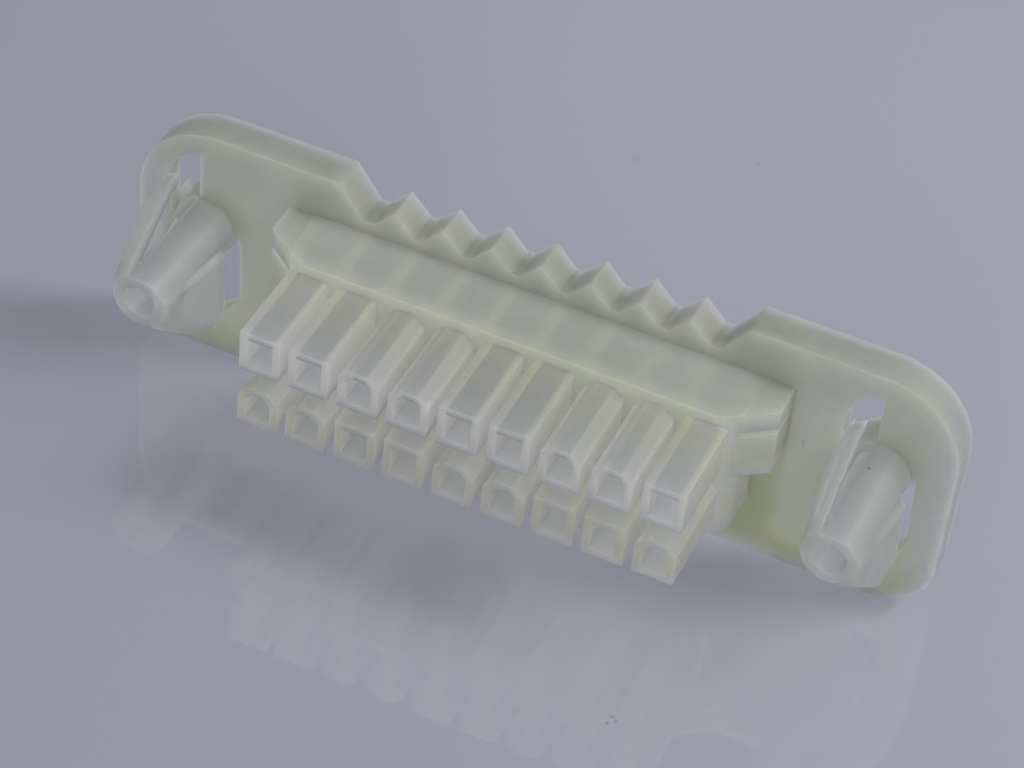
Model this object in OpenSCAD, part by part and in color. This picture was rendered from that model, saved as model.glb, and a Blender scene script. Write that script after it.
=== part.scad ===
// Panel-mount socket housing, moulded in one piece of natural nylon.
// X runs along the rows, Y runs to the rear and Z is up.
// The origin is midway between the rows, on the flange face that meets the panel.
// All sizes are in millimetres.

/* [Sockets] */
// Sockets in each of the two rows
columns = 9; // [4:1:12]
// Spacing of the sockets along a row
pitch = 4.2; // [3.9:0.05:4.6]
// Spacing of the two rows
row_spacing = 5.5; // [4.8:0.1:6.5]
// Width of one socket tube
tube_width = 3.4; // [3.1:0.05:3.7]
// Height of one socket tube
tube_height = 3.76; // [3.4:0.02:4.2]
// Length of the socket tubes in front of the pedestal
tube_length = 8.3; // [6:0.1:10]
// Wall of a socket tube
tube_wall = 0.62; // [0.5:0.02:0.75]
// Leg of the key chamfers on a keyed socket tube
key_chamfer = 0.95; // [0.6:0.05:1.2]

/* [Pedestal] */
// Depth of the pedestal in front of the flange
pedestal_depth = 6.0; // [5:0.1:8]
// Pedestal wall beside the end tubes
end_margin = 0.9; // [0.7:0.1:1.5]
// Pedestal wall above the upper tubes
top_margin = 0.97; // [0.8:0.01:1.4]
// Pedestal wall below the lower tubes
bottom_margin = 2.1; // [0.8:0.1:3]
// Radius of the upright front corners
pedestal_radius = 2.2; // [0.8:0.1:2.5]

/* [End ribs] */
// Reach of the ribs past the ends of the pedestal
rib_reach = 2.2; // [1:0.1:3]
// Sweep angle of the rib fronts
rib_angle = 38; // [25:1:50]
// Drop of the upper rib below the top of the pedestal
rib_drop = 0.1; // [0.1:0.1:1.5]
// Height of the upper rib
upper_rib_height = 1.7; // [1:0.1:2.2]
// Groove between the two ribs
rib_groove = 0.5; // [0.3:0.1:1]
// Height of the lower rib
lower_rib_height = 4.1; // [2:0.1:5]

/* [Flange] */
// Depth of the flange
flange_depth = 3.3; // [2.6:0.1:4]
// Rise of the flange above the pedestal
flange_rise = 1.04; // [0.6:0.02:2]
// Drop of the flange below the pedestal
flange_drop = 5.7; // [3:0.1:7]
// Height of a tooth on the top edge
tooth_height = 1.77; // [1:0.01:1.9]
// Distance of an ear from the axis of the last socket
ear_start = 0.6; // [0.2:0.1:1.5]
// Run of the slope from an ear down to the teeth
ear_slope = 2.2; // [1:0.1:2.4]
// Rise of the ears above the foot of the teeth
ear_rise = 2.86; // [1.5:0.02:4]
// Length of an ear
ear_length = 17.8; // [16.5:0.1:20]
// Radius of the upper ear corners
ear_top_radius = 7.0; // [4:0.1:7.5]
// Radius of the lower ear corners
ear_bottom_radius = 4.75; // [3:0.05:6]
// Thickness of the plate of an ear
ear_plate = 1.6; // [1.2:0.1:2.2]
// Rim behind the plate of an ear
ear_rim = 1.4; // [1:0.1:2]
// Wall of the boss behind a post
boss_wall = 0.9; // [0.6:0.1:1.5]

/* [Snap posts] */
// Distance of a post from the end of its ear
post_inset = 6.05; // [5.5:0.05:7]
// Height of the posts above the middle of the rows
post_rise = 0.4; // [0:0.1:1]
// Length of a post in front of the flange
post_length = 10.9; // [9.5:0.1:12]
// Radius of a post at its tip
post_tip_radius = 2.25; // [2.1:0.05:2.4]
// Radius of a post at the flange
post_root_radius = 2.65; // [2.5:0.05:2.8]
// Radius of the bore along a post
post_bore_radius = 1.4; // [1:0.05:1.45]
// Radius of the core between the arms
post_core_radius = 1.95; // [1.85:0.05:2]
// Reach of an upper arm from the axis at its catch
upper_arm_reach = 7.1; // [6.5:0.1:8]
// Reach of a lower arm from the axis at its catch
lower_arm_reach = 8.4; // [7:0.1:9]
// Power of the bulge along an arm
arm_bulge = 1.3; // [1.2:0.1:2]
// Radius of the back of an upper arm at its catch
upper_arm_radius = 2.8; // [2.7:0.05:3]
// Radius of the back of a lower arm at its catch
lower_arm_radius = 3.3; // [3:0.05:3.5]
// Draw-in of the foot of an arm
arm_draw_in = 0.2; // [0.1:0.05:0.3]
// Length of the solid nose in front of the arms
nose_length = 2.2; // [1.6:0.1:3]
// Rise of an arm over the rim of the tip
arm_lip = 0.2; // [0.1:0.05:0.4]
// Distance of the flat side of an arm from the axis
arm_offset = 1.1; // [0.9:0.05:1.2]
// Thickness of an arm at its catch
arm_thickness = 1.2; // [1:0.05:1.5]
// Thickness of an arm at its root
arm_root_thickness = 2.2; // [1.8:0.1:2.6]
// Side wall of an arm
arm_wall = 0.7; // [0.6:0.05:0.8]
// Room for the panel between the catches and the flange
panel_room = 2.6; // [1.5:0.1:3.5]
// Slit between an arm and its post
arm_slit = 0.3; // [0.2:0.05:0.4]
// Radius of the openings in the ears behind the arms
opening_radius = 3.3; // [3.1:0.05:3.5]
// Distance of the flat side of an opening from the axis
opening_offset = 0.6; // [0.4:0.05:0.8]
// Length of an opening past the end of a lower arm
opening_spare = 0.5; // [0.2:0.1:0.8]
// Wall between an opening and its post
opening_wall = 0.1; // [0.1:0.05:0.3]

/* [Wire entries] */
// Width of a wire entry
entry_width = 3.2; // [2.8:0.05:3.4]
// Height of a wire entry
entry_height = 3.5; // [3:0.05:3.8]
// Wall left in front of the wire entries
entry_floor = 1.5; // [1:0.1:2.5]

/* [Hidden] */
$fn = 64;
nylon = [0.83, 0.84, 0.76];
cut = 0.05;
row_half = (columns - 1) / 2 * pitch;
pedestal_front = -pedestal_depth;
tube_front = pedestal_front - tube_length;
body_half = row_half + tube_width / 2 + end_margin;
body_top = row_spacing / 2 + tube_height / 2 + top_margin;
body_bottom = -row_spacing / 2 - tube_height / 2 - bottom_margin;
tooth_foot = body_top + flange_rise;
flange_bottom = body_bottom - flange_drop;
ear_inner = row_half + ear_start;
ear_end = ear_inner + ear_length;
ear_top = tooth_foot + ear_rise;
post_x = ear_end - post_inset;
post_tip = -post_length;
catch = -panel_room;
arm_length = catch - post_tip;
tip_reach = post_tip_radius + arm_lip;
arm_slices = 10;
arm_root = nose_length / arm_length;
shoulder = 0.65 * post_tip_radius;
arm_half_tip = post_tip_radius + arm_lip / 2;

// Position along an arm, from 0 at the tip to 1 at the catch
function arm_y(along) = post_tip + arm_length * along;
function arm_reach_at(along, reach) = tip_reach + (reach - tip_reach) * (1 - pow(1 - along, arm_bulge));
function arm_thickness_at(along) = arm_root_thickness + (arm_thickness - arm_root_thickness) * along;
function slice(i) = 1 - pow(1 - i / arm_slices, 1.5);

// A tube is keyed in pairs, and the lower row has the keys that the upper row lacks
function keyed(column, row) = (floor(column / 2) + 1 - row) % 2 == 1;

// Extrusion of an outline in X and Z from one depth to another
module along_y(from, to) {
    translate([0, to, 0])
        rotate([90, 0, 0])
            linear_extrude(to - from)
                children();
}

module tube_outline(width, height, chamfer, has_key) {
    if (has_key)
        polygon([
            [-width / 2, -height / 2],
            [width / 2, -height / 2],
            [width / 2, height / 2 - chamfer],
            [width / 2 - chamfer, height / 2],
            [-width / 2 + chamfer, height / 2],
            [-width / 2, height / 2 - chamfer]
        ]);
    else
        square([width, height], center = true);
}

module at_socket(column, row) {
    translate([column * pitch - row_half, 0, (row - 0.5) * row_spacing])
        children();
}

module tubes() {
    for (row = [0, 1])
        for (column = [0 : columns - 1])
            at_socket(column, row)
                along_y(tube_front, pedestal_front + cut)
                    tube_outline(tube_width, tube_height, key_chamfer, keyed(column, row));
}

// The socket holes follow the tubes, and open into wider wire entries at the rear
module sockets() {
    for (row = [0, 1])
        for (column = [0 : columns - 1])
            at_socket(column, row) {
                along_y(tube_front - cut, pedestal_front + entry_floor + cut)
                    tube_outline(
                        tube_width - 2 * tube_wall,
                        tube_height - 2 * tube_wall,
                        key_chamfer - tube_wall * (2 - sqrt(2)),
                        keyed(column, row)
                    );
                along_y(pedestal_front + entry_floor, flange_depth + cut)
                    square([entry_width, entry_height], center = true);
            }
}

module pedestal() {
    translate([0, 0, body_bottom])
        linear_extrude(body_top - body_bottom) {
            translate([-body_half, pedestal_front + pedestal_radius])
                square([2 * body_half, pedestal_depth - pedestal_radius + cut]);
            translate([-body_half + pedestal_radius, pedestal_front])
                square([2 * (body_half - pedestal_radius), pedestal_depth]);
            for (side = [-1, 1])
                translate([side * (body_half - pedestal_radius), pedestal_front + pedestal_radius])
                    circle(pedestal_radius);
        }
}

// The ribs sweep back from the rounded corners of the pedestal and key the housing in its mate
module end_rib(top, height) {
    corner_x = body_half - pedestal_radius;
    corner_y = pedestal_front + pedestal_radius;
    sweep_x = corner_x + (pedestal_radius - cut) * sin(rib_angle);
    sweep_y = corner_y - (pedestal_radius - cut) * cos(rib_angle);
    rib_end = body_half + rib_reach;
    for (side = [0, 1])
        mirror([side, 0, 0])
            translate([0, 0, top - height])
                linear_extrude(height)
                    polygon([
                        [corner_x, corner_y],
                        [sweep_x, sweep_y],
                        [rib_end, sweep_y + (rib_end - sweep_x) * tan(rib_angle)],
                        [rib_end, cut],
                        [corner_x, cut]
                    ]);
}

module end_ribs() {
    upper_top = body_top - rib_drop;
    end_rib(upper_top, upper_rib_height);
    end_rib(upper_top - upper_rib_height - rib_groove, lower_rib_height);
}

// Outline of one ear, drawn in by a margin
module ear_outline(start, margin) {
    top_radius = ear_top_radius - margin;
    bottom_radius = ear_bottom_radius - margin;
    left = start;
    right = ear_end - margin;
    top = ear_top - margin;
    bottom = flange_bottom + margin;
    translate([left, bottom + bottom_radius])
        square([right - left - top_radius, top - bottom - bottom_radius]);
    translate([left, bottom + bottom_radius])
        square([right - left, top - bottom - bottom_radius - top_radius]);
    translate([left, bottom])
        square([right - left - bottom_radius, top - bottom - top_radius]);
    translate([right - top_radius, top - top_radius])
        circle(top_radius);
    translate([right - bottom_radius, bottom + bottom_radius])
        circle(bottom_radius);
}

module flange_outline() {
    translate([-ear_inner, flange_bottom])
        square([2 * ear_inner, tooth_foot - flange_bottom]);
    for (column = [1 : columns - 2])
        translate([column * pitch - row_half, tooth_foot])
            polygon([
                [-tooth_height, -cut],
                [tooth_height, -cut],
                [tooth_height, 0],
                [0, tooth_height],
                [-tooth_height, 0]
            ]);
    for (side = [0, 1])
        mirror([side, 0]) {
            ear_outline(ear_inner - cut, 0);
            polygon([
                [ear_inner - ear_slope, tooth_foot],
                [ear_inner - ear_slope, tooth_foot - cut],
                [ear_inner, tooth_foot - cut],
                [ear_inner, ear_top]
            ]);
        }
}

// Outline of an arm or of the opening behind it, left of the axis and above it
module arm_outline(reach, radius, offset) {
    intersection() {
        union() {
            translate([0, reach - radius])
                circle(radius);
            polygon([
                [0, 0],
                [arm_draw_in - radius, 0],
                [-radius, reach - radius],
                [0, reach - radius]
            ]);
        }
        translate([-2 * radius, 0])
            square([2 * radius - offset, 2 * reach]);
    }
}

module arm_opening(reach) {
    along_y(-cut, flange_depth + cut)
        difference() {
            arm_outline(reach, opening_radius, opening_offset);
            circle(post_root_radius + opening_wall);
        }
}

// Hollow behind the plate of the right ear, around the boss behind its post
module ear_hollow() {
    along_y(ear_plate, flange_depth + cut)
        difference() {
            ear_outline(body_half + rib_reach, ear_rim);
            translate([post_x, post_rise])
                circle(post_root_radius + boss_wall);
        }
}

module flange() {
    difference() {
        along_y(0, flange_depth)
            flange_outline();
        for (side = [0, 1])
            mirror([side, 0, 0])
                ear_hollow();
        at_posts() {
            arm_opening(upper_arm_reach);
            rotate([0, 180, 0])
                arm_opening(lower_arm_reach + opening_spare);
        }
    }
}

// Bulging nose around the axis of a post, from its tip to the catches
module nose(reach) {
    rotate([-90, 0, 0])
        rotate_extrude()
            polygon(concat(
                [[0, catch], [0, post_tip]],
                [for (i = [0 : arm_slices]) [arm_reach_at(slice(i), reach), arm_y(slice(i))]]
            ));
}

// Plan of an arm or of the room in it, which widens from the tip
module arm_plan(reach, half_tip, half_end, end) {
    translate([0, 0, -shoulder])
        linear_extrude(2 * reach)
            polygon([
                [0, post_tip],
                [0, end],
                [-half_end, end],
                [-half_tip, post_tip]
            ]);
}

// Root of an arm on the side of its post, which turns smoothly into the arm
module arm_shoulder(radius) {
    polygon([
        [0, 0],
        [-shoulder, -shoulder],
        [arm_draw_in - radius, 0]
    ]);
}

// Room between an arm and the core of its post
module arm_room(reach, radius) {
    intersection() {
        translate([-2 * radius, 0, 0])
            rotate([90, 0, 90])
                linear_extrude(2 * radius)
                    polygon(concat(
                        [
                            [catch + cut, -arm_slit],
                            [arm_y(arm_root), -arm_slit]
                        ],
                        [
                            for (i = [0 : arm_slices])
                                let (along = arm_root + (1 - arm_root) * i / arm_slices)
                                [
                                    arm_y(along) + (i == arm_slices ? cut : 0),
                                    arm_reach_at(along, reach) - arm_thickness_at(along)
                                ]
                        ]
                    ));
        along_y(post_tip, 0) {
            translate([0, reach - radius])
                circle(radius - arm_wall);
            translate([-radius, -arm_slit])
                square([2 * radius, reach - radius + arm_slit]);
        }
        arm_plan(reach, arm_half_tip - arm_wall, radius - arm_wall, catch + cut);
    }
}

// One arm, left of the axis of its post and above it
module arm(reach, radius) {
    difference() {
        intersection() {
            nose(reach);
            arm_plan(reach, arm_half_tip, radius, catch);
            along_y(post_tip, catch) {
                arm_outline(reach, radius, arm_offset);
                arm_shoulder(radius);
            }
        }
        arm_room(reach, radius);
    }
}

// The quarter of a post beside an arm, which is cut back to the core
module arm_quarter() {
    reach = 2 * post_root_radius;
    translate([-reach, arm_y(arm_root), -arm_slit])
        cube([reach - arm_offset + arm_slit, -arm_y(arm_root), reach]);
}

module post() {
    difference() {
        translate([0, cut, 0])
            rotate([90, 0, 0])
                cylinder(h = post_length + cut, r1 = post_root_radius, r2 = post_tip_radius);
        for (turn = [0, 180])
            rotate([0, turn, 0])
                arm_quarter();
    }
    translate([0, cut, 0])
        rotate([90, 0, 0])
            cylinder(h = 2 * cut - arm_y(arm_root), r = post_core_radius);
    arm(upper_arm_reach, upper_arm_radius);
    rotate([0, 180, 0])
        arm(lower_arm_reach, lower_arm_radius);
}

module post_bore() {
    translate([0, flange_depth + cut, 0])
        rotate([90, 0, 0])
            cylinder(h = post_length + flange_depth + 2 * cut, r = post_bore_radius);
}

module at_posts() {
    for (side = [-1, 1])
        translate([side * post_x, 0, post_rise])
            children();
}

module housing() {
    color(nylon)
        difference() {
            union() {
                tubes();
                pedestal();
                end_ribs();
                flange();
                at_posts()
                    post();
            }
            sockets();
            at_posts()
                post_bore();
        }
}

housing();
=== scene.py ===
import bpy
from mathutils import Matrix, Vector


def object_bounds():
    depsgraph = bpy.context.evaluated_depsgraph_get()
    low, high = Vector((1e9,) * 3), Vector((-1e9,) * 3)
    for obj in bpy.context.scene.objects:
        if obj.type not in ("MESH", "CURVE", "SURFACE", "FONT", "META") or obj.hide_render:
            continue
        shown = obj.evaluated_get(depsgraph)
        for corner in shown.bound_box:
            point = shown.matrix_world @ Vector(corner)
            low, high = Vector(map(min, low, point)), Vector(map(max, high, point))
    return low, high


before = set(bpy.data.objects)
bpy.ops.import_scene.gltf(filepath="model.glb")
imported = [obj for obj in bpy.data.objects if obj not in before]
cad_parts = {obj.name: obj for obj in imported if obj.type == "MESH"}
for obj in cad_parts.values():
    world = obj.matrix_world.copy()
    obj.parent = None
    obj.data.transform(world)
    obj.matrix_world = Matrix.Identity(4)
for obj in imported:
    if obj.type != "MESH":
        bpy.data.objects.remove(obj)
cad_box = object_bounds()
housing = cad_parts["housing"]

MM = 0.001

# Moulded edges
EDGE_RADIUS = 0.2 * MM
POST_EDGE_RADIUS = 0.45 * MM
EDGE_SAMPLES = 2

# Spans over which one finish of the housing goes over into the next, in millimetres
TUBE_ROOT_SPAN = (-5.4, -7.0)
TUBE_LENGTH_SPAN = (-6.0, -13.5)
ROW_PARTING_SPAN = (-1.2, 1.2)
EAR_START_SPAN = (22.0, 23.0)
EAR_RIM_SPAN = (31.5, 35.2)
FLANGE_FACE_SPAN = (0.3, -1.5)
FLANGE_RISE_SPAN = (-12.0, 7.0)

# Tones of the nylon, olive where it is thick and paler where it is thin, and yellower towards the foot
# of the flange; some tones hold painted light and shade: a paler pedestal and tube roots, darker lower
# tubes and bluish ear rims lit through
FLANGE_FOOT_TONE = (0.282, 0.304, 0.195, 1.0)
FLANGE_TOP_TONE = (0.283, 0.294, 0.25, 1.0)
# Painted light: the thin ear rims are bluish, as the table's light shines through them
EAR_RIM_LIT_THROUGH_TONE = (0.288, 0.301, 0.31, 1.0)
# Painted light: the pedestal is made paler to make up for the shade the flange casts on it
PEDESTAL_LIT_TONE = (0.352, 0.367, 0.302, 1.0)
# Yellower as thick nylon at the tube roots, and paler as painted light in the crevices between the
# tubes
TUBE_ROOT_LIT_TONE = (0.373, 0.396, 0.255, 1.0)
TUBE_TIP_TONE = (0.357, 0.366, 0.326, 1.0)
# Painted shade: the lower row of tubes is darker than the upper row
LOWER_TUBE_SHADE_TONE = (0.265, 0.277, 0.211, 1.0)
POST_TONE = (0.255, 0.267, 0.245, 1.0)
NYLON_CLOUD_TONE = (0.94, 0.95, 0.92, 1.0)
NYLON_DIRT_TONE = (0.05, 0.05, 0.045, 1.0)

# Body and skin of the nylon
NYLON_IOR = 1.53
SCATTER_DEPTH = 12.0 * MM
SCATTER_COLOURS = (1.0, 1.0, 1.0)
NYLON_CLOUD_SCALE = 95.0
NYLON_MOTTLE = 0.5
NYLON_SKIN_SCALE = 5200.0
NYLON_SKIN_STRENGTH = 0.25
NYLON_SKIN_DEPTH = 0.02 * MM
NYLON_ROUGHNESS = (0.34, 0.44)

# Share of the light that goes on through one side of a wall
WALL_PASS = 0.96
EAR_PASS = 0.6
SPREAD_PASS = 0.97

# Table, with painted light: paler to the far right
TABLE_SHADED_TONE = (0.35, 0.35, 0.416, 1.0)
TABLE_LIT_TONE = (0.392, 0.39, 0.462, 1.0)
TABLE_CLOUD_TONE = (0.97, 0.97, 0.98, 1.0)
TABLE_DIRT_TONE = (0.14, 0.14, 0.17, 1.0)
TABLE_LIGHT_SLOPE = (0.55, 0.83, 0.0)
TABLE_LIGHT_REACH = 75.0 * MM
TABLE_HALF_WIDTH = 3.0
TABLE_CLOUD_SCALE = 9.0
TABLE_MOTTLE = 0.1
TABLE_SKIN_SCALE = 900.0
TABLE_ROUGHNESS = (0.03, 0.06)

# Hair's breadth between the part and the table
FLOOR_GAP = 0.03 * MM

# Clouds: the mottle is finer than the broad clouds
CLOUD_DETAIL = 1.0
CLOUD_ROUGHNESS = 0.5
MOTTLE_FINENESS = 7.0
MOTTLE_ROUGHNESS = 0.6

# Skin: fine pores on long low waves
PORE_DETAIL = 2.0
PORE_ROUGHNESS = 0.65
WAVE_FINENESS = 0.06
WAVE_DETAIL = 1.0
WAVE_ROUGHNESS = 0.5
WAVE_HEIGHT = 2.0

# Middle and usual range of an uneven pattern
PATTERN_MIDDLE = 0.5
PATTERN_LOW = 0.3
PATTERN_HIGH = 0.7

# Dirt marks: place, half sizes and strength, in millimetres
PART_MARKS = (
    ((28.99, -2.82, 2.93), (0.15, 0.15, 0.2), 1.0),
    ((22.95, 0.0, 0.52), (0.1, 0.3, 0.3), 0.45),
    ((23.0, 0.0, 0.2), (0.09, 0.3, 0.2), 0.45),
)
TABLE_MARK_DEPTH = 99.0
TABLE_MARKS = (
    ((17.7, -21.8, 0.0), (0.3, 0.16, TABLE_MARK_DEPTH), 0.5),
    ((18.1, -22.1, 0.0), (0.13, 0.3, TABLE_MARK_DEPTH), 0.4),
    ((17.6, -22.6, 0.0), (0.16, 0.2, TABLE_MARK_DEPTH), 0.6),
    ((-6.9, 41.5, 0.0), (0.5, 0.7, TABLE_MARK_DEPTH), 0.12),
    ((2.9, 46.8, 0.0), (0.4, 0.4, TABLE_MARK_DEPTH), 0.1),
)
MARK_RIM = 1.0
MARK_CORE = 0.45

# Camera, found from the regular spacing of the sockets
CAMERA_PLACE = Vector((64.2, -178.6, 167.8)) * MM
CAMERA_RIGHT = Vector((0.9071, 0.4126, 0.0829))
CAMERA_UP = Vector((-0.3346, 0.5877, 0.7367))
CAMERA_LENS = 112.87
SENSOR_WIDTH = 36.0
CLIP_START = 0.01
CLIP_END = 20.0

# Lamps on the part and on the table: place and width in metres, and power
PART_SOFTBOXES = (
    ("right_softbox", (0.37, 0.2, 0.42), 0.16, 1.45),
    ("front_softbox", (0.3, -1.2, 0.55), 1.0, 8.2),
    ("left_softbox", (-0.7, -0.9, 0.05), 1.0, 2.7),
)
TABLE_SOFTBOXES = (
    ("right_table_softbox", (0.37, 0.2, 0.42), 0.16, 1.75),
    ("front_table_softbox", (0.3, -1.2, 0.55), 1.0, 9.0),
)

# Even light of the room, with a dim wall behind the table
ROOM_TONE = (1.0, 1.0, 1.0, 1.0)
ROOM_STRENGTH = 0.58
BACK_WALL = (-0.33, 0.69, 0.64)
BACK_WALL_TONE = (0.1, 0.12, 0.2, 1.0)
BACK_WALL_RIM = 0.55
BACK_WALL_CORE = 0.93

# Places of the colour sockets on a mix node
MIX_FACTOR = 0
MIX_FIRST = 6
MIX_SECOND = 7
MIX_RESULT = 2


def add_node(tree, kind, inputs=None, **settings):
    """Adds a shader node, sets its options, and fills or links its inputs."""
    made = tree.nodes.new(kind)
    for name, value in settings.items():
        setattr(made, name, value)
    for socket, value in (inputs or {}).items():
        if isinstance(value, bpy.types.NodeSocket):
            tree.links.new(value, made.inputs[socket])
        else:
            made.inputs[socket].default_value = value
    return made


def add_math(tree, operation, first, second=0.0):
    made = add_node(tree, "ShaderNodeMath", {0: first, 1: second}, operation=operation)
    return made.outputs[0]


def add_ramp(tree, value, start, end, low=0.0, high=1.0):
    """A smooth step of a value between two places."""
    made = add_node(
        tree,
        "ShaderNodeMapRange",
        {"Value": value, "From Min": start, "From Max": end, "To Min": low, "To Max": high},
        interpolation_type="SMOOTHSTEP",
    )
    return made.outputs["Result"]


def add_span(tree, place, span):
    """A smooth step along one axis of the housing, over a span in millimetres."""
    start, end = span
    return add_ramp(tree, place, start * MM, end * MM)


def add_mix(tree, factor, first, second, blend="MIX"):
    made = add_node(
        tree,
        "ShaderNodeMix",
        {MIX_FACTOR: factor, MIX_FIRST: first, MIX_SECOND: second},
        data_type="RGBA",
        blend_type=blend,
    )
    return made.outputs[MIX_RESULT]


def add_noise(tree, place, scale, detail, roughness):
    made = add_node(
        tree,
        "ShaderNodeTexNoise",
        {"Vector": place, "Scale": scale, "Detail": detail, "Roughness": roughness},
    )
    return made.outputs["Fac"]


def new_group(name, inputs, outputs):
    """An empty node group with float or vector sockets."""
    tree = bpy.data.node_groups.new(name, "ShaderNodeTree")
    for socket, kind in inputs.items():
        tree.interface.new_socket(socket, in_out="INPUT", socket_type=kind)
    for socket, kind in outputs.items():
        tree.interface.new_socket(socket, in_out="OUTPUT", socket_type=kind)
    entry = tree.nodes.new("NodeGroupInput")
    leave = tree.nodes.new("NodeGroupOutput")
    return tree, entry.outputs, leave.inputs


def make_cloud_group():
    """Soft uneven milkiness, with larger clouds and a finer mottle."""
    tree, entry, leave = new_group(
        "milky_clouds",
        {"Vector": "NodeSocketVector", "Scale": "NodeSocketFloat", "Mottle": "NodeSocketFloat"},
        {"Cloud": "NodeSocketFloat"},
    )
    broad = add_noise(tree, entry["Vector"], entry["Scale"], CLOUD_DETAIL, CLOUD_ROUGHNESS)
    fine_scale = add_math(tree, "MULTIPLY", entry["Scale"], MOTTLE_FINENESS)
    fine = add_noise(tree, entry["Vector"], fine_scale, CLOUD_DETAIL, MOTTLE_ROUGHNESS)
    centred = add_math(tree, "SUBTRACT", fine, PATTERN_MIDDLE)
    mottle = add_math(tree, "MULTIPLY", centred, entry["Mottle"])
    total = add_math(tree, "ADD", broad, mottle)
    tree.links.new(add_ramp(tree, total, PATTERN_LOW, PATTERN_HIGH), leave["Cloud"])
    return tree


def make_skin_group():
    """Fine skin of a moulded or cast plastic surface."""
    tree, entry, leave = new_group(
        "plastic_skin",
        {"Vector": "NodeSocketVector", "Scale": "NodeSocketFloat"},
        {"Height": "NodeSocketFloat", "Sheen": "NodeSocketFloat"},
    )
    pores = add_noise(tree, entry["Vector"], entry["Scale"], PORE_DETAIL, PORE_ROUGHNESS)
    wave_scale = add_math(tree, "MULTIPLY", entry["Scale"], WAVE_FINENESS)
    waves = add_noise(tree, entry["Vector"], wave_scale, WAVE_DETAIL, WAVE_ROUGHNESS)
    swell = add_math(tree, "MULTIPLY", waves, WAVE_HEIGHT)
    tree.links.new(add_math(tree, "ADD", pores, swell), leave["Height"])
    tree.links.new(waves, leave["Sheen"])
    return tree


def new_material(name):
    material = bpy.data.materials.new(name)
    material.use_nodes = True
    tree = material.node_tree
    return material, tree, tree.nodes["Principled BSDF"]


def use_group(tree, group, inputs):
    return add_node(tree, "ShaderNodeGroup", inputs, node_tree=group).outputs


def add_regions(tree, place):
    """Masks of the tubes, the pedestal, the posts, the ears and their rims, and ways along them."""
    axes = add_node(tree, "ShaderNodeSeparateXYZ", {"Vector": place}).outputs
    side = add_math(tree, "ABSOLUTE", axes["X"])
    outboard = add_span(tree, side, EAR_START_SPAN)
    forward = add_span(tree, axes["Y"], FLANGE_FACE_SPAN)
    posts = add_math(tree, "MULTIPLY", outboard, forward)
    return {
        "tubes": add_span(tree, axes["Y"], TUBE_ROOT_SPAN),
        "forward": forward,
        "posts": posts,
        "ears": add_math(tree, "SUBTRACT", outboard, posts),
        "rims": add_span(tree, side, EAR_RIM_SPAN),
        "reach": add_span(tree, axes["Y"], TUBE_LENGTH_SPAN),
        "upper": add_span(tree, axes["Z"], ROW_PARTING_SPAN),
        "rise": add_span(tree, axes["Z"], FLANGE_RISE_SPAN),
    }


def add_marks(tree, place, marks):
    """Small soft oval marks of dirt."""
    total = 0.0
    for centre, size, strength in marks:
        moved = add_node(
            tree,
            "ShaderNodeVectorMath",
            {0: place, 1: Vector(centre) * MM},
            operation="SUBTRACT",
        )
        scaled = add_node(
            tree,
            "ShaderNodeVectorMath",
            {0: moved.outputs[0], 1: Vector(size) * MM},
            operation="DIVIDE",
        )
        reach = add_node(tree, "ShaderNodeVectorMath", {0: scaled.outputs[0]}, operation="LENGTH")
        spot = add_ramp(tree, reach.outputs["Value"], MARK_RIM, MARK_CORE, 0.0, strength)
        total = add_math(tree, "MAXIMUM", total, spot)
    return total


def add_light_pass(tree, ears):
    """Opacity of the walls: seen as milky, but part of the light goes on through them."""
    rays = add_node(tree, "ShaderNodeLightPath").outputs
    share = add_ramp(tree, ears, 0.0, 1.0, WALL_PASS, EAR_PASS)
    straight = add_math(tree, "MULTIPLY", rays["Is Shadow Ray"], share)
    spread = add_math(tree, "MULTIPLY", rays["Is Diffuse Ray"], SPREAD_PASS)
    return add_math(tree, "SUBTRACT", 1.0, add_math(tree, "MAXIMUM", straight, spread))


def add_nylon_tone(tree, regions):
    """Tone of the clean nylon, region by region, with painted light on the pedestal, tube roots and
    ear rims and painted shade on the lower tubes.
    """
    plate = add_mix(tree, regions["rise"], FLANGE_FOOT_TONE, FLANGE_TOP_TONE)
    # Painted light: bluish ear rims lit through from the table
    flange = add_mix(tree, regions["rims"], plate, EAR_RIM_LIT_THROUGH_TONE)
    # Painted light on the pedestal
    body = add_mix(tree, regions["forward"], flange, PEDESTAL_LIT_TONE)
    # Painted shade darkens the lower row of tubes
    shaded_tips = add_mix(tree, regions["upper"], LOWER_TUBE_SHADE_TONE, TUBE_TIP_TONE)
    # Painted light: the tube roots, in the crevices, are paler and yellower
    tubes = add_mix(tree, regions["reach"], TUBE_ROOT_LIT_TONE, shaded_tips)
    front = add_mix(tree, regions["tubes"], body, tubes)
    return add_mix(tree, regions["posts"], front, POST_TONE)


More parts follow.
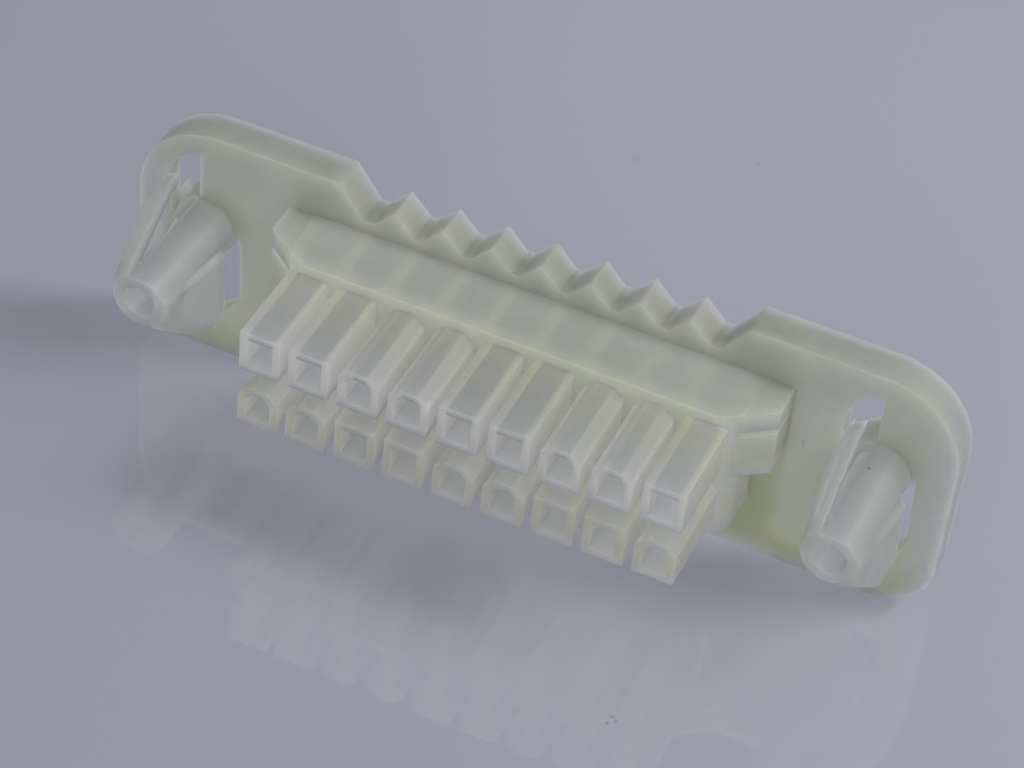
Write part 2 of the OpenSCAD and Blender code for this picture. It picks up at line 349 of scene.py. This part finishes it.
def make_nylon(clouds, skin):
    """Natural nylon: milky, slightly green, paler where it is thin, with painted light and shade in
    its tones.
    """
    material, tree, shader = new_material("natural_nylon")
    place = add_node(tree, "ShaderNodeTexCoord").outputs["Object"]
    regions = add_regions(tree, place)
    cloud = use_group(
        tree,
        clouds,
        {"Vector": place, "Scale": NYLON_CLOUD_SCALE, "Mottle": NYLON_MOTTLE},
    )["Cloud"]
    clear_tone = add_nylon_tone(tree, regions)
    tone = add_mix(tree, cloud, clear_tone, NYLON_CLOUD_TONE, "MULTIPLY")
    dirt = add_marks(tree, place, PART_MARKS)
    tree.links.new(add_mix(tree, dirt, tone, NYLON_DIRT_TONE), shader.inputs["Base Color"])
    grain = use_group(tree, skin, {"Vector": place, "Scale": NYLON_SKIN_SCALE})
    roughness = add_ramp(tree, grain["Sheen"], PATTERN_LOW, PATTERN_HIGH, *NYLON_ROUGHNESS)
    tree.links.new(roughness, shader.inputs["Roughness"])
    rounding = add_ramp(tree, regions["posts"], 0.0, 1.0, EDGE_RADIUS, POST_EDGE_RADIUS)
    edges = add_node(tree, "ShaderNodeBevel", {"Radius": rounding}, samples=EDGE_SAMPLES)
    bump = add_node(
        tree,
        "ShaderNodeBump",
        {
            "Height": grain["Height"],
            "Strength": NYLON_SKIN_STRENGTH,
            "Distance": NYLON_SKIN_DEPTH,
            "Normal": edges.outputs["Normal"],
        },
    )
    tree.links.new(bump.outputs["Normal"], shader.inputs["Normal"])
    tree.links.new(add_light_pass(tree, regions["ears"]), shader.inputs["Alpha"])
    shader.inputs["IOR"].default_value = NYLON_IOR
    shader.inputs["Subsurface Weight"].default_value = 1.0
    shader.inputs["Subsurface Radius"].default_value = SCATTER_COLOURS
    shader.inputs["Subsurface Scale"].default_value = SCATTER_DEPTH
    return material


def make_table(clouds, skin):
    """Smooth pale sheet with a faint reflection and painted light that makes it paler to the far
    right.
    """
    material, tree, shader = new_material("pale_table")
    place = add_node(tree, "ShaderNodeTexCoord").outputs["Object"]
    cloud = use_group(
        tree,
        clouds,
        {"Vector": place, "Scale": TABLE_CLOUD_SCALE, "Mottle": TABLE_MOTTLE},
    )["Cloud"]
    # Painted light: the table grows paler along this slope
    along = add_node(tree, "ShaderNodeVectorMath", {0: place, 1: TABLE_LIGHT_SLOPE}, operation="DOT_PRODUCT")
    far = add_ramp(tree, along.outputs["Value"], -TABLE_LIGHT_REACH, TABLE_LIGHT_REACH)
    painted_light_tone = add_mix(tree, far, TABLE_SHADED_TONE, TABLE_LIT_TONE)
    tone = add_mix(tree, cloud, painted_light_tone, TABLE_CLOUD_TONE, "MULTIPLY")
    marks = add_marks(tree, place, TABLE_MARKS)
    tree.links.new(add_mix(tree, marks, tone, TABLE_DIRT_TONE), shader.inputs["Base Color"])
    grain = use_group(tree, skin, {"Vector": place, "Scale": TABLE_SKIN_SCALE})
    roughness = add_ramp(tree, grain["Sheen"], PATTERN_LOW, PATTERN_HIGH, *TABLE_ROUGHNESS)
    tree.links.new(roughness, shader.inputs["Roughness"])
    return material


def set_only_material(part, material):
    part.data.materials.clear()
    part.data.materials.append(material)


def make_floor(level, material):
    reach = TABLE_HALF_WIDTH
    corners = [
        (-reach, -reach, level),
        (reach, -reach, level),
        (reach, reach, level),
        (-reach, reach, level),
    ]
    mesh = bpy.data.meshes.new("table")
    mesh.from_pydata(corners, [], [(0, 1, 2, 3)])
    floor = bpy.data.objects.new("table", mesh)
    bpy.context.scene.collection.objects.link(floor)
    set_only_material(floor, material)
    return floor


def add_softbox(name, place, target, width, power, lit, mirrored):
    """A square lamp that lights one thing, and shows as a gleam on it where it is mirrored."""
    lamp = bpy.data.lights.new(name, "AREA")
    lamp.shape = "SQUARE"
    lamp.size = width
    lamp.energy = power
    softbox = bpy.data.objects.new(name, lamp)
    softbox.location = place
    softbox.rotation_mode = "QUATERNION"
    softbox.rotation_quaternion = (target - place).to_track_quat("-Z", "Y")
    softbox.visible_glossy = mirrored
    receivers = bpy.data.collections.new(name + "_lit")
    receivers.objects.link(lit)
    softbox.light_linking.receiver_collection = receivers
    bpy.context.scene.collection.objects.link(softbox)


def add_world():
    world = bpy.data.worlds.new("studio")
    world.use_nodes = True
    tree = world.node_tree
    background = tree.nodes["Background"]
    way = add_node(tree, "ShaderNodeTexCoord").outputs["Generated"]
    facing = add_node(tree, "ShaderNodeVectorMath", {0: way, 1: BACK_WALL}, operation="DOT_PRODUCT")
    back = add_ramp(tree, facing.outputs["Value"], BACK_WALL_RIM, BACK_WALL_CORE)
    tree.links.new(add_mix(tree, back, ROOM_TONE, BACK_WALL_TONE), background.inputs["Color"])
    background.inputs["Strength"].default_value = ROOM_STRENGTH
    bpy.context.scene.world = world


def add_camera():
    data = bpy.data.cameras.new("camera")
    data.lens = CAMERA_LENS
    data.sensor_width = SENSOR_WIDTH
    data.clip_start = CLIP_START
    data.clip_end = CLIP_END
    camera = bpy.data.objects.new("camera", data)
    back = CAMERA_RIGHT.cross(CAMERA_UP)
    turned = Matrix((CAMERA_RIGHT, CAMERA_UP, back)).transposed()
    camera.location = CAMERA_PLACE
    camera.rotation_mode = "QUATERNION"
    camera.rotation_quaternion = turned.to_quaternion()
    bpy.context.scene.collection.objects.link(camera)
    bpy.context.scene.camera = camera


clouds = make_cloud_group()
skin = make_skin_group()

set_only_material(housing, make_nylon(clouds, skin))
floor = make_floor(cad_box[0].z - FLOOR_GAP, make_table(clouds, skin))

middle = (cad_box[0] + cad_box[1]) / 2
for name, place, width, power in PART_SOFTBOXES:
    add_softbox(name, Vector(place), middle, width, power, housing, True)
for name, place, width, power in TABLE_SOFTBOXES:
    add_softbox(name, Vector(place), middle, width, power, floor, False)
add_world()
add_camera()
bpy.context.scene.view_settings.view_transform = "Standard"
